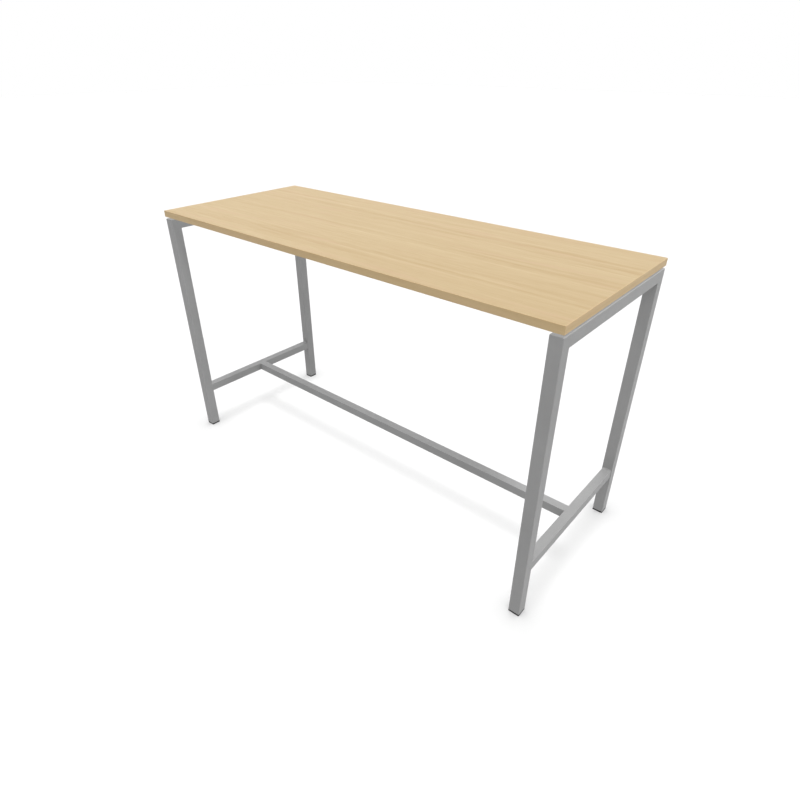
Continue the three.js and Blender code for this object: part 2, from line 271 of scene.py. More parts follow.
def outline(half, radius):
    """A rounded rectangle with the half sizes half[0] and half[1], as arrays u and v.

    Corner k has its arc's centre at (half - radius) times the corner's signs, and its points are
    centre + radius (cos, sin) + slide (-sin, cos). The slide is zero, apart from a guard point before
    and after each arc that keeps the flats flat.
    """
    turn = np.concatenate([[0], ARC, [QUARTER]]) + QUARTER * np.arange(len(CORNERS))[:, None]
    slide = np.concatenate([[-FLAT_GUARD], 0 * ARC, [FLAT_GUARD]])
    centre_u, centre_v = ((half - radius) * CORNERS).T[..., None]
    u = centre_u + radius * np.cos(turn) - slide * np.sin(turn)
    v = centre_v + radius * np.sin(turn) + slide * np.cos(turn)
    return u.ravel(), v.ravel()


def outline_edge():
    """For each point of the outline, how far it is out on a corner: the sine of twice its swing."""
    return np.tile(np.concatenate([[0], np.sin(2 * ARC), [0]]), len(CORNERS))


print("outline points", len(outline_edge()))

# %% [markdown]
# ## How a tube ends
#
# Three kinds of end occur. A sawn end is square, and where it stays open a file has broken its edge.
# A mitred end is cut at 45 degrees, so that a leg and the top rail meet in a corner without an open end;
# after welding, that corner is ground round. A coped end follows the round corner of the tube that it
# butts against, which leaves no notch between the two tops.

# %% Say how a tube is cut
DEBURR = 0.4 * MM
GROUND_RADIUS = 1.5 * MM
GROUND_STEPS = 6
FILED = [(DEBURR, 0.0), (0.0, DEBURR)]
SHARP = [(0.0, 0.0)]
GROUND = [(GROUND_RADIUS * (1 - math.tan(a)), 0.0) for a in np.linspace(0, QUARTER / 2, GROUND_STEPS + 1)]


def sawn(place):
    """A square cut: every point of the outline ends at the same place."""
    return lambda u, v: np.full_like(u, place)


def mitred(place, slope):
    """A cut at 45 degrees: a point of the outline ends at place + slope v, with a slope of 1 or -1."""
    return lambda u, v: place + slope * v


def coped(member, rail, sign):
    """A cut along x to fit a rail: d beyond the rail's flat, it goes on by r - sqrt(r^2 - d^2)."""
    low, high = corners(member)
    rail_low, rail_high = corners(rail)
    rise = (low[2] + high[2] - rail_low[2] - rail_high[2]) / 2
    flat = (rail_high[2] - rail_low[2]) / 2 - TUBE_RADIUS

    def cut(u, v):
        beyond = np.clip(np.abs(v + rise) - flat, 0, TUBE_RADIUS)
        return sign * (high[0] + TUBE_RADIUS - np.sqrt(TUBE_RADIUS ** 2 - beyond ** 2))

    return cut


print("rows of a filed, a sharp and a ground end", len(FILED), len(SHARP), len(GROUND))

# %% Carry the outline from end to end
AXES = {"x": (2, 0, 1), "y": (0, 2, 1), "z": (0, 1, 2)}


def tube(half, start, start_steps, stop, stop_steps):
    """A tube as rows of (u, v, along), with a number for each point that is 1 on its outer corners.

    A step (back, inset) is a row that stands back from the cut and is pulled in by inset. The last two
    rows are the bore, from the stop cut back to the start cut.
    """
    half = np.asarray(half)
    rows = []
    for cut, way, steps in [(start, 1, start_steps[::-1]), (stop, -1, stop_steps)]:
        for back, inset in steps:
            u, v = outline(half - inset, TUBE_RADIUS - inset)
            rows.append((u, v, cut(u, v) + way * back))
    u, v = outline(half - TUBE_WALL, BORE_RADIUS)
    bore = [(u, v, stop(u, v)), (u, v, start(u, v))]
    outside = np.repeat([1, 0], [len(rows), len(bore)])
    return np.stack([np.stack(row, -1) for row in rows + bore]), outside[:, None] * outline_edge()


def lay_tube(node, axis, start, start_steps, stop, stop_steps, shape=None):
    """Makes the tube that stands for a node: its section comes from the node's box, its run from the cuts."""
    low, high = corners(node)
    centre, half = (low + high) / 2, (high - low) / 2
    run = "xyz".index(axis)
    section = [half[k] for k in range(3) if k != run]
    grid, edge = tube(section, start, start_steps, stop, stop_steps)
    centre[run] = 0
    place = grid[..., AXES[axis]] + centre
    if shape is not None:
        place = shape(place)
    return stand_for(node, [place], ring=True, edge=edge)


print("a tube runs along", " or ".join(AXES))

# %% [markdown]
# ## End frames
#
# Each end frame is a welded hoop: two legs, a top rail and, lower down, a foot rail between the legs.
# The ground corner is a map of the plane: a point that lies a and b beyond the middle of the corner's
# round is pulled in by the larger of a and b over their distance, which takes the square corner to a circle.
# Leg and rail share the map, so they still meet without a gap.

# %% Make legs, top rails and foot rails
LEG_HALF = (leg_high[0] - leg_low[0]) / 2


def grind_corner(place):
    """Rounds the hoop's outer corner: positive a and b are both scaled by max(a, b) / hypot(a, b)."""
    a = np.abs(place[..., 1]) - (FRAME_SIDE - GROUND_RADIUS)
    b = place[..., 2] - (FRAME_TOP - GROUND_RADIUS)
    reach = np.maximum(np.hypot(a, b), SAME_POINT)
    scale = np.where((a > 0) & (b > 0), np.maximum(a, b) / reach, 1)
    ground = place.copy()
    ground[..., 1] = np.sign(place[..., 1]) * (FRAME_SIDE - GROUND_RADIUS + a * scale)
    ground[..., 2] = FRAME_TOP - GROUND_RADIUS + b * scale
    return ground


def leg(side, end):
    """A leg stands on its foot insert with a sawn end, and its top is mitred towards the rail."""
    node = f"leg_{side}_{end}"
    floor_end = sawn(corners(node)[0][2])
    rail_end = mitred(FRAME_TOP - LEG_HALF, SIDES[side])
    return lay_tube(node, "z", floor_end, FILED, rail_end, GROUND, grind_corner)


def top_rail(end):
    """A top rail is mitred at both ends."""
    near, far = [mitred(sign * (FRAME_SIDE - LEG_HALF), sign) for sign in SIDES.values()]
    return lay_tube(f"top_rail_{end}", "y", near, GROUND, far, GROUND, grind_corner)


def foot_rail(end):
    """A foot rail is slimmer than the legs, so it is sawn off square and welded to their flats."""
    node = f"foot_rail_{end}"
    low, high = corners(node)
    return lay_tube(node, "y", sawn(low[1]), SHARP, sawn(high[1]), SHARP)


legs = [leg(side, end) for end in ENDS for side in SIDES]
top_rails = [top_rail(end) for end in ENDS]
foot_rails = [foot_rail(end) for end in ENDS]
print("end frames", [piece.name for piece in legs + top_rails + foot_rails])

# %% [markdown]
# ## Long members
#
# The footrest beam and the two stretchers under the top are not welded: they slide over stubs on the end
# frames, and a screw from below holds each end. Their ends are coped, so they close up with the rails.

# %% Make the footrest beam and the stretchers


def long_member(node, rail):
    """A tube along the table, coped at both ends to the rails whose name begins with rail."""
    near, far = [coped(node, f"{rail}_{end}", sign) for end, sign in ENDS.items()]
    return lay_tube(node, "x", near, SHARP, far, SHARP)


footrest = long_member("footrest_beam", "foot_rail")
stretchers = [long_member(node, "top_rail") for node in nodes_like("top_stretcher_")]
print("long members", [piece.name for piece in [footrest] + stretchers])

# %% [markdown]
# ## Turned shapes
#
# Screws, spacers and feet are turnings: a row is a radius at a height, carried round the axis.
# The radius may depend on the angle, so a hexagon or a rounded square is a turning too,
# and a screw thread is one whose radius rises and falls with height and angle together.

# %% Turn profiles round an upright axis
TURN = 2 * math.pi
HEXAGON_SIDE = TURN / 6
ROUND_STEPS = 4
ROUND_COLUMNS = 48
round_angles = np.linspace(0, TURN, ROUND_COLUMNS, endpoint=False)


def standing(node):
    """How an upright piece stands: its centre in plan, its radius, and its lowest and highest point."""
    low, high = corners(node)
    return ((low + high) / 2)[:2], (high[0] - low[0]) / 2, low[2], high[2]


def turning(rows, angles, centre):
    """Points centre + (radius cos, radius sin, height), for rows of (radius or radii, height)."""
    radius = np.stack([np.broadcast_to(r, angles.shape) for r, _ in rows])
    height = np.broadcast_to(np.array([[z] for _, z in rows]), radius.shape)
    return np.stack([radius * np.cos(angles), radius * np.sin(angles), height], -1) + np.array([*centre, 0])


def arc_rows(centre_radius, centre_height, radius, first, last):
    """Rows of a quarter round in a profile: centre + radius (cos, sin), from the first angle to the last."""
    swing = np.linspace(first, last, ROUND_STEPS + 1)
    return [(centre_radius + radius * np.cos(a), centre_height + radius * np.sin(a)) for a in swing]


def hexagon(across_flats, angles):
    """Radius of a hexagon: half its width across flats over the cosine of the angle from a flat's middle."""
    return across_flats / 2 / np.cos(angles % HEXAGON_SIDE - HEXAGON_SIDE / 2)


print("columns of a round turning", ROUND_COLUMNS)

# %% [markdown]
# ## Holes
#
# A fixing screw goes up through a wide hole in the tube's lower wall and a close hole in its upper wall.
# A grid can't hold a round hole in a flat wall without much care, so this is the one place where a
# Boolean modifier does the cutting, with turned plugs. Its result becomes the mesh, and nothing stays live.

# %% Drill the tubes
ACCESS_RADIUS = 7 * MM
CLOSE_RADIUS = 2.8 * MM
LOCK_RADIUS = 3.3 * MM
BROKEN_EDGE = 0.4 * MM


def plug(x, y, radius, face, deep, way):
    """A plug that starts outside a face, breaks the hole's edge and goes deep, up (way 1) or down (-1)."""
    mouth = radius + 2 * BROKEN_EDGE
    rows = [(0, -BROKEN_EDGE), (mouth, -BROKEN_EDGE), (radius, BROKEN_EDGE), (radius, deep), (0, deep)]
    return turning([(r, face + way * z) for r, z in rows], round_angles, (x, y))


def drill(piece, plugs):
    """Cuts plugs out of a piece and keeps the cut mesh."""
    cutter = new_object(grid_mesh("drill", plugs, ring=False))
    cut = piece.modifiers.new("drill", "BOOLEAN")
    cut.operation = "DIFFERENCE"
    cut.solver = "EXACT"
    cut.object = cutter
    drilled = bpy.data.meshes.new_from_object(piece.evaluated_get(bpy.context.evaluated_depsgraph_get()))
    piece.modifiers.clear()
    drilled.name = piece.name
    piece.data = drilled
    bpy.data.objects.remove(cutter)
    crease_mesh(drilled)


def plugs_at(screws, radius, face, way):
    """Plugs through one wall, at the places of the screws whose names begin with screws."""
    middles = [sum(corners(node)) / 2 for node in nodes_like(screws)]
    return [plug(x, y, radius, face, 2 * TUBE_WALL, way) for x, y, _ in middles]


def fixing_plugs(tag, member):
    """The wide holes below and the close holes above for the fixing screws of one member."""
    low, high = corners(member)
    screws = f"fixing_screw_{tag}_"
    return plugs_at(screws, ACCESS_RADIUS, low[2], 1) + plugs_at(screws, CLOSE_RADIUS, high[2], -1)


def lock_plugs(tag, member):
    """The two holes for a long member's lock screws, in its lower wall."""
    return plugs_at(f"lock_screw_{tag}_", LOCK_RADIUS, corners(member)[0][2], 1)


for end, rail in zip(ENDS, top_rails):
    drill(rail, fixing_plugs(f"rail_{end}", f"top_rail_{end}"))
for side, stretcher in zip(sorted(SIDES), stretchers):
    tag = f"stretcher_{side}"
    drill(stretcher, fixing_plugs(tag, f"top_{tag}") + lock_plugs(tag, f"top_{tag}"))
drill(footrest, lock_plugs("footrest", "footrest_beam"))
print("drilled", {piece.name: len(piece.data.polygons) for piece in top_rails + stretchers + [footrest]})

# %% [markdown]
# ## Welds
#
# The foot rails and the inner corners of the hoops are welded, and the coat runs over the beads.
# A bead fills the corner between two faces: its section is a flat chord with a slight swell, and its
# size ripples along the seam where each drop of metal froze. The outer seams are ground flush, so they
# have none. A bead is a scene piece of its own, because the model leaves the welds out.

# %% Lay weld beads in the inner corners
BEAD_SIZE = 2.6 * MM
BEAD_SWELL = 0.35 * MM
BEAD_RIPPLE = 0.05
BEAD_PITCH = 1.7 * MM
BEAD_BEND = 0.8
BEAD_BLUNT = 12
BEAD_ROWS = 121
BEAD_COLUMNS = 9


def bead(centre, across, up, length):
    """A bead along x in the corner at centre, between a face that runs along across and one along up.

    Column t of the section lies at size ((1 - t) across + t up) + swell hump (across + up), where the hump
    is sin(pi t). The size is BEAD_SIZE (1 + ripple sin(turn (along / pitch + bend hump))), and both ends
    taper off blunt and round. The last column is the corner itself.
    """
    s = np.linspace(-1, 1, BEAD_ROWS)[:, None]
    t = np.linspace(0, 1, BEAD_COLUMNS)[None, :]
    along, hump = s * length / 2, np.sin(math.pi * t)
    size = BEAD_SIZE * (1 + BEAD_RIPPLE * np.sin(TURN * (along / BEAD_PITCH + BEAD_BEND * hump)))
    taper = np.sqrt(1 - s ** BEAD_BLUNT)
    along_across = taper * (size * (1 - t) + BEAD_SWELL * hump)
    along_up = taper * (size * t + BEAD_SWELL * hump)
    section = np.stack([along + 0 * t, across * along_across, up * along_up], -1)
    corner = np.stack([along, 0 * s, 0 * s], -1)
    return np.concatenate([section, corner], 1) + np.array(centre)


def frame_beads(end):
    """The six beads of one end frame: over and under each end of the foot rail, and under the top rail."""
    low, high = corners(f"foot_rail_{end}")
    x = (low[0] + high[0]) / 2
    length = high[0] - low[0] - 2 * TUBE_RADIUS
    face = high[1]
    rail_under = FRAME_TOP - 2 * LEG_HALF
    places = [(high[2], 1), (low[2], -1), (rail_under, -1)]
    return [bead((x, side * face, z), -side, up, length) for side in SIDES.values() for z, up in places]


def weld(end):
    """All beads of one end frame as one piece on the table's fixed body."""
    beads = new_object(grid_mesh(f"welds_{end}", frame_beads(end), ring=False))
    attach(beads, "table")
    return beads


welds = [weld(end) for end in ENDS]
print("weld beads", {piece.name: len(piece.data.polygons) for piece in welds})

# %% [markdown]
# ## Spacers
#
# Eight plastic rings hold the top clear of the frame, which gives the table its shadow line.
# They are turnings whose rows go once round the ring's own section, with a small round on each edge.

# %% Turn the spacers
SPACER_EDGE = 0.6 * MM


def spacer(node):
    """A ring: up the bore, out over the top, down the rim and back underneath, each edge a quarter round."""
    centre, rim, bottom, top = standing(node)
    inner, outer = CLOSE_RADIUS + SPACER_EDGE, rim - SPACER_EDGE
    lower, upper = bottom + SPACER_EDGE, top - SPACER_EDGE
    rows = arc_rows(inner, upper, SPACER_EDGE, math.pi, QUARTER)
    rows += arc_rows(outer, upper, SPACER_EDGE, QUARTER, 0)
    rows += arc_rows(outer, lower, SPACER_EDGE, 0, -QUARTER)
    rows += arc_rows(inner, lower, SPACER_EDGE, -QUARTER, -math.pi)
    return stand_for(node, [turning(rows, round_angles, centre)], ring=True)


spacers = [spacer(node) for node in nodes_like("spacer_")]
print("spacers", len(spacers))

# %% [markdown]
# ## Screw threads
#
# A thread is a groove that climbs by one pitch in each turn. Its phase is height over pitch less the
# angle over a full turn, so lines of equal phase climb to the right, as on a common screw.
# A helix swept by a Screw modifier would leave open ends; a radius on a grid stays one closed body.

# %% Cut threads into turnings
THREAD_SHARE = 0.58
THREAD_STEEP = 1.3
ROWS_PER_PITCH = 12


def thread(low, high, major, pitch, angles):
    """Rows of a right-hand thread between two heights.

    A triangle wave of the phase, made steeper and cut flat at crest and root, times the depth, comes off
    the major radius. The depth fades to nothing over one pitch at both ends.
    """
    count = int(round((high - low) / pitch * ROWS_PER_PITCH))
    height = np.linspace(low, high, count + 1)
    wave = np.abs(2 * ((height[:, None] / pitch - angles / TURN) % 1) - 1)
    groove = np.clip(0.5 + THREAD_STEEP * (wave - 0.5), 0, 1)
    fade = np.clip(np.minimum(height - low, high - height) / pitch, 0, 1)
    radius = major - THREAD_SHARE * pitch * fade[:, None] * groove
    return list(zip(radius, height))


print("rows in each pitch of a thread", ROWS_PER_PITCH)

# %% Turn the screws
SCREW_SOCKET = 4 * MM
SOCKET_DEPTH = 2.2 * MM
SOCKET_CONE = 0.5 * MM
SOCKET_LEAD = 0.3 * MM
HEAD_FLAT = 1.15
LOCK_SHANK, LOCK_PITCH, LOCK_TIP = 3 * MM, 1 * MM, 0.8 * MM
FIXING_SHANK, FIXING_PITCH, FIXING_TIP = 2.5 * MM, 2 * MM, 1.2 * MM


def socket_rows(across_flats, bottom, deep):
    """Rows of a hexagon socket that opens downwards: its cone, its wall and the broken edge of its mouth."""
    socket = hexagon(across_flats, round_angles)
    rows = [(0, bottom + deep + SOCKET_CONE), (socket, bottom + deep)]
    return rows + [(socket, bottom + SOCKET_LEAD), (socket + SOCKET_LEAD, bottom)]


def socket_screw(node, bearing, shank, pitch, tip):
    """A button-head screw whose head hangs below its bearing face: socket, dome, collar, thread and tip.

    The dome is a quarter ellipse from the flat round the socket out to the head's rim.
    """
    centre, rim, bottom, top = standing(node)
    head, flat = bearing - bottom, HEAD_FLAT * shank
    rows = socket_rows(SCREW_SOCKET, bottom, SOCKET_DEPTH)
    rows += [(flat + (rim - flat) * np.sin(a), bearing - head * np.cos(a)) for a in ARC]
    rows += [(rim, bearing), (shank, bearing)]
    rows += thread(bearing, top - tip, shank, pitch, round_angles)
    rows += [(shank - tip, top), (0, top)]
    return stand_for(node, [turning(rows, round_angles, centre)], ring=False)


def member_of(lock_screw):
    """The long member that a lock screw holds."""
    tag = lock_screw.removeprefix("lock_screw_").rsplit("_", 1)[0]
    return "footrest_beam" if tag == "footrest" else f"top_{tag}"


lock_screws = [
    socket_screw(node, corners(member_of(node))[0][2], LOCK_SHANK, LOCK_PITCH, LOCK_TIP)
    for node in nodes_like("lock_screw_")
]
inner_face = FRAME_TOP - TUBE_WALL
fixing_screws = [
    socket_screw(node, inner_face, FIXING_SHANK, FIXING_PITCH, FIXING_TIP)
    for node in nodes_like("fixing_screw_")
]
print("screws", len(lock_screws), "lock and", len(fixing_screws), "fixing")

# %% [markdown]
# ## Foot inserts
#
# A black plug closes each leg. Its flange is as wide as the tube, and fins above it grip the bore.
# Underneath, a round recess takes the glide, and a plain hole stands for the threaded one that takes the
# spindle. All this is one turning whose rows change from circles to rounded squares and back.

# %% Turn the foot inserts
FLANGE_HEIGHT = leg_low[2]
FLANGE_WEB = 1 * MM
HUB_ROOM = 5.3 * MM
RECESS_HEIGHT = FLANGE_HEIGHT - FLANGE_WEB
POCKET_HEIGHT = RECESS_HEIGHT + HUB_ROOM
RECESS_RADIUS = 16.5 * MM
POCKET_RADIUS = 10.5 * MM
SPINDLE_BORE = 5.3 * MM
CORE_HALF = 15 * MM
FIN_HALF = 17.5 * MM
FIN_COUNT = 5
FIN_THICKNESS = 1.8 * MM
PLUG_TAPER = 2 * MM
PLUG_CORNER = 1.2 * MM
FLANGE_EDGE = 0.5 * MM
FLAT_COLUMNS, CORNER_COLUMNS = 8, 4

arc_angle = math.atan((LEG_HALF - TUBE_RADIUS) / LEG_HALF)
on_flat = np.linspace(0, arc_angle, FLAT_COLUMNS + 1)
on_corner = np.linspace(arc_angle, QUARTER / 2, CORNER_COLUMNS + 1)
eighth = np.concatenate([on_flat, on_corner[1:]])
quarter_angles = np.concatenate([eighth, QUARTER - eighth[-2:0:-1]])
square_angles = (quarter_angles + QUARTER * np.arange(len(CORNERS))[:, None]).ravel()


def rounded_square(half, corner):
    """Radius of a rounded square at each angle.

    Folded to the nearest axis, the radius is half / cos on the flat. Past the flat it is the far root of
    r^2 - 2 r inner (cos + sin) + 2 inner^2 - corner^2 = 0, where inner is half - corner.
    """
    fold = np.abs((square_angles + QUARTER / 2) % QUARTER - QUARTER / 2)
    inner = half - corner
    reach = inner * (np.cos(fold) + np.sin(fold))
    arc = reach + np.sqrt(np.maximum(reach ** 2 - 2 * inner ** 2 + corner ** 2, 0))
    return np.where(half * np.tan(fold) <= inner + SAME_POINT, half / np.cos(fold), arc)


def foot_insert(node):
    """From the recess up through the bore, over the top, down the fins and round the flange."""
    centre, _, bottom, top = standing(node)
    core, fin = rounded_square(CORE_HALF, PLUG_CORNER), rounded_square(FIN_HALF, PLUG_CORNER)
    flange = rounded_square(LEG_HALF, TUBE_RADIUS)
    soft = rounded_square(LEG_HALF - FLANGE_EDGE, TUBE_RADIUS - FLANGE_EDGE)
    rows = [(RECESS_RADIUS + FLANGE_EDGE, bottom), (RECESS_RADIUS, bottom + FLANGE_EDGE)]
    rows += [(RECESS_RADIUS, RECESS_HEIGHT), (POCKET_RADIUS, RECESS_HEIGHT)]
    rows += [(POCKET_RADIUS, POCKET_HEIGHT), (SPINDLE_BORE, POCKET_HEIGHT), (SPINDLE_BORE, top)]
    rows += [(rounded_square(CORE_HALF - PLUG_TAPER, PLUG_CORNER), top), (core, top - PLUG_TAPER)]
    pitch = (top - FLANGE_HEIGHT - PLUG_TAPER) / FIN_COUNT
    for step in range(FIN_COUNT, 0, -1):
        fin_top = FLANGE_HEIGHT + step * pitch
        fin_bottom = fin_top - FIN_THICKNESS
        rows += [(core, fin_top), (fin, fin_top), (fin, fin_bottom), (core, fin_bottom)]
    rows += [(core, FLANGE_HEIGHT), (flange, FLANGE_HEIGHT)]
    rows += [(flange, bottom + FLANGE_EDGE), (soft, bottom)]
    return stand_for(node, [turning(rows, square_angles, centre)], ring=True)


foot_inserts = [foot_insert(node) for node in nodes_like("foot_insert_")]
print("foot inserts", len(foot_inserts), "with", len(square_angles), "columns")

# %% [markdown]
# ## Glides and spindles
#
# The glide is what stands on the floor: a round disc with a hub that closes over the spindle's collar.
# The spindle is captive in it, and a hex key through the hole in the glide turns it.
# Both are turnings. The glide rides on its own body, and so does the spindle, because they move.

# %% Turn the glides and spindles
GLIDE_EDGE = 1.0 * MM
GLIDE_FLOOR = 2.5 * MM
HUB_RADIUS = 10 * MM
HUB_LIP = 1.5 * MM
HUB_EDGE = 0.6 * MM
COLLAR_ROOM = 7.3 * MM
KEY_HOLE = 3.5 * MM
SPINDLE_SHANK = 5 * MM
SPINDLE_PITCH = 1.5 * MM
SPINDLE_SOCKET = 5 * MM
SPINDLE_SOCKET_DEPTH = 5 * MM
SPINDLE_TIP = 0.8 * MM
COLLAR_PLAY = 0.3 * MM
COLLAR_EDGE = 0.4 * MM


def foot_glide(node):
    """Round the section: key hole, sole, rim, shoulder, hub, lip and the room for the collar."""
    centre, rim, sole, hub_top = standing(node)
    rows = [(KEY_HOLE, sole)]
    rows += arc_rows(rim - GLIDE_EDGE, sole + GLIDE_EDGE, GLIDE_EDGE, -QUARTER, 0)
    rows += [(rim, RECESS_HEIGHT), (HUB_RADIUS, RECESS_HEIGHT)]
    rows += arc_rows(HUB_RADIUS - HUB_EDGE, hub_top - HUB_EDGE, HUB_EDGE, 0, QUARTER)
    rows += [(SPINDLE_BORE, hub_top), (SPINDLE_BORE, hub_top - HUB_LIP), (COLLAR_ROOM, hub_top - HUB_LIP)]
    rows += [(COLLAR_ROOM, GLIDE_FLOOR), (KEY_HOLE, GLIDE_FLOOR)]
    return stand_for(node, [turning(rows, round_angles, centre)], ring=True)


def foot_spindle(node):
    """Hex socket from below, collar, thread and tip."""
    centre, collar, bottom, tip = standing(node)
    shoulder = POCKET_HEIGHT - HUB_LIP - 2 * COLLAR_PLAY
    rows = socket_rows(SPINDLE_SOCKET, bottom, SPINDLE_SOCKET_DEPTH)
    rows += [(collar - COLLAR_EDGE, bottom), (collar, bottom + COLLAR_EDGE)]
    rows += [(collar, shoulder - COLLAR_EDGE), (collar - COLLAR_EDGE, shoulder), (SPINDLE_SHANK, shoulder)]
    rows += thread(shoulder, tip - SPINDLE_TIP, SPINDLE_SHANK, SPINDLE_PITCH, round_angles)
    rows += [(SPINDLE_SHANK - SPINDLE_TIP, tip), (0, tip)]
    return stand_for(node, [turning(rows, round_angles, centre)], ring=False)


glides = [foot_glide(node) for node in nodes_like("foot_glide_")]
spindles = [foot_spindle(node) for node in nodes_like("foot_spindle_")]
print("glides", len(glides), "spindles", len(spindles), "faces of a spindle", len(spindles[0].data.polygons))

# %% [markdown]
# ## Shader sums
#
# Finishes are worked out from patterns, and patterns are sums. One small class lets a socket stand in
# a Python expression, so 1 - mask adds the Math node that it needs. Every other node comes from one
# method that takes its type, its settings and its inputs.

# %% Let a socket stand in sums


class Sum:
    """An output socket that takes part in sums; each operator adds one Math node."""

    def __init__(self, nodes, socket):
        self.nodes = nodes
        self.socket = socket

    def math(self, operation, first, second=0.0):
        return self.nodes.add("Math", {"operation": operation}, {0: first, 1: second})

    def __add__(self, other):
        return self.math("ADD", self, other)

    def __sub__(self, other):
        return self.math("SUBTRACT", self, other)

    def __rsub__(self, other):
        return self.math("SUBTRACT", other, self)

    def __mul__(self, other):
        return self.math("MULTIPLY", self, other)

    def sine(self):
        return self.math("SINE", self)

    __radd__ = __add__
    __rmul__ = __mul__


print("sockets add, subtract and multiply")

# %% Fill node trees


class Nodes:
    """The node tree of a material or a world, emptied and then filled node by node."""

    def __init__(self, owner):
        owner.use_nodes = True
        self.tree = owner.node_tree
        self.tree.nodes.clear()

    def add(self, kind, settings=None, inputs=None, output=0):
        """One node: its settings are set first, then its inputs by name or number. Returns one output."""
        node = self.tree.nodes.new("ShaderNode" + kind)
        for name, value in (settings or {}).items():
            if name == "stops":
                set_stops(node.color_ramp, value)
            else:
                setattr(node, name, value)
        for name, value in (inputs or {}).items():
            if isinstance(value, Sum):
                self.tree.links.new(value.socket, node.inputs[name])
            else:
                node.inputs[name].default_value = value
        return Sum(self, node.outputs[output]) if node.outputs else None


def set_stops(ramp, stops):
    """Gives a colour ramp its stops, each a place and a colour."""
    while len(ramp.elements) < len(stops):
        ramp.elements.new(1.0)
    for element, (place, colour) in zip(ramp.elements, stops):
        element.position = place
        element.color = colour


print("a tree is filled by one method")

# %% Write colours as on a screen
SCREEN_FULL = 255
SCREEN_KNEE, SCREEN_SLOPE = 0.04045, 12.92
SCREEN_LIFT, SCREEN_POWER = 0.055, 2.4


def screen(red, green, blue):
    """A colour written as on a screen, 0 to 255, as the linear numbers that shaders use.

    Up to the knee a share is divided by the slope, and above it the lifted share is raised to the power.
    """
    share = np.array([red, green, blue]) / SCREEN_FULL
    lifted = (share + SCREEN_LIFT) / (1 + SCREEN_LIFT)
    linear = np.where(share <= SCREEN_KNEE, share / SCREEN_SLOPE, lifted ** SCREEN_POWER)
    return (*(float(x) for x in linear), 1.0)


print("screen 128 is linear", round(screen(128, 128, 128)[0], 3))

# %% [markdown]
# ## Patterns
#
# Every finish reads Object coordinates. As all pieces sit at the origin, that is the table's own frame
# in metres, so a pattern has a real size and doesn't slide when a piece moves.
# Noise stretched along one axis is the root of wood; noise that is as wide as long is the root of paint.

# %% Place noise on the table
NOISE_ROUGHNESS = 0.55
NOISE_MEAN = 0.5


def stretched(nodes, turn, cells):
    """Object coordinates turned about z and counted in cells of the given sizes along x, y and z."""
    place = nodes.add("TexCoord", output="Object")
    turned = nodes.add("Mapping", {"vector_type": "POINT"}, {"Vector": place, "Rotation": (0, 0, turn)})
    counts = tuple(1 / size for size in cells)
    return nodes.add("VectorMath", {"operation": "MULTIPLY"}, {0: turned, 1: counts})


def noise(nodes, turn, cells, detail, offset=(0, 0, 0), bend=0.0):
    """A value about a half that wanders from cell to cell."""
    place = stretched(nodes, turn, cells)
    moved = nodes.add("VectorMath", {"operation": "ADD"}, {0: place, 1: offset})
    inputs = {"Vector": moved, "Scale": 1.0, "Detail": detail, "Roughness": NOISE_ROUGHNESS}
    return nodes.add("TexNoise", {"noise_dimensions": "3D"}, {**inputs, "Distortion": bend})


def even_noise(nodes, size, detail):
    """Noise whose cells are as wide as long."""
    return noise(nodes, 0, (size, size, size), detail)


def vary(middle, value, share):
    """A number that a noise moves up and down: middle + (value - mean) share."""
    return middle + (value - NOISE_MEAN) * share


def height_of(nodes, coordinates="Object"):
    """How high a point lies or, in the world, how steeply a direction points up."""
    place = nodes.add("TexCoord", output=coordinates)
    return nodes.add("SeparateXYZ", {}, {"Vector": place}, output="Z")


print("cells of noise are measured in metres")

# %% Turn patterns into finishes


def step(nodes, value, low, high, first=0.0, last=1.0):
    """Goes smoothly from first to last as value goes from low to high."""
    inputs = {"Value": value, "From Min": low, "From Max": high, "To Min": first, "To Max": last}
    return nodes.add("MapRange", {"interpolation_type": "SMOOTHSTEP"}, inputs)


def mix(nodes, share, first, second):
    """A colour between two colours: 6, 7 and the output 2 are the Mix node's sockets for colours."""
    return nodes.add("Mix", {"data_type": "RGBA"}, {0: share, 6: first, 7: second}, output=2)


def bump(nodes, height, deep, strength):
    """A normal that follows a height; deep is what a height of 1 means in metres."""
    return nodes.add("Bump", {}, {"Strength": strength, "Distance": deep, "Height": height})


def new_material(name, surface):
    """A material whose shader is made by a function of its nodes."""
    material = bpy.data.materials.new(name)
    nodes = Nodes(material)
    nodes.add("OutputMaterial", {}, {"Surface": surface(nodes)})
    return material


def new_finish(name, shader_inputs):
    """A material with one Principled shader, whose inputs a function of its nodes works out."""
    finish = new_material(name, lambda nodes: nodes.add("BsdfPrincipled", {}, shader_inputs(nodes)))
    print("finish", finish.name, "with", len(finish.node_tree.nodes), "nodes")
    return finish


print("a finish is one Principled shader")

# %% [markdown]
# ## Oak decor
#
# The top is chipboard faced with printed paper: pale oak, with the grain along the table.
# The print is a sum of noises: slow drifts of tone, soft streaks as long as the table, flame-like bands
# where the log was cut aslant, short wisps and dashes, and hair-fine fibres and pores. Real streaks keep
# together, so a slow noise makes some stretches lively and others calm. The resin over the print is
# satin, with a slight grain pressed into it. The underside has a plain grey backing sheet, so that the
# board doesn't warp; the height of a point says on which side it lies.

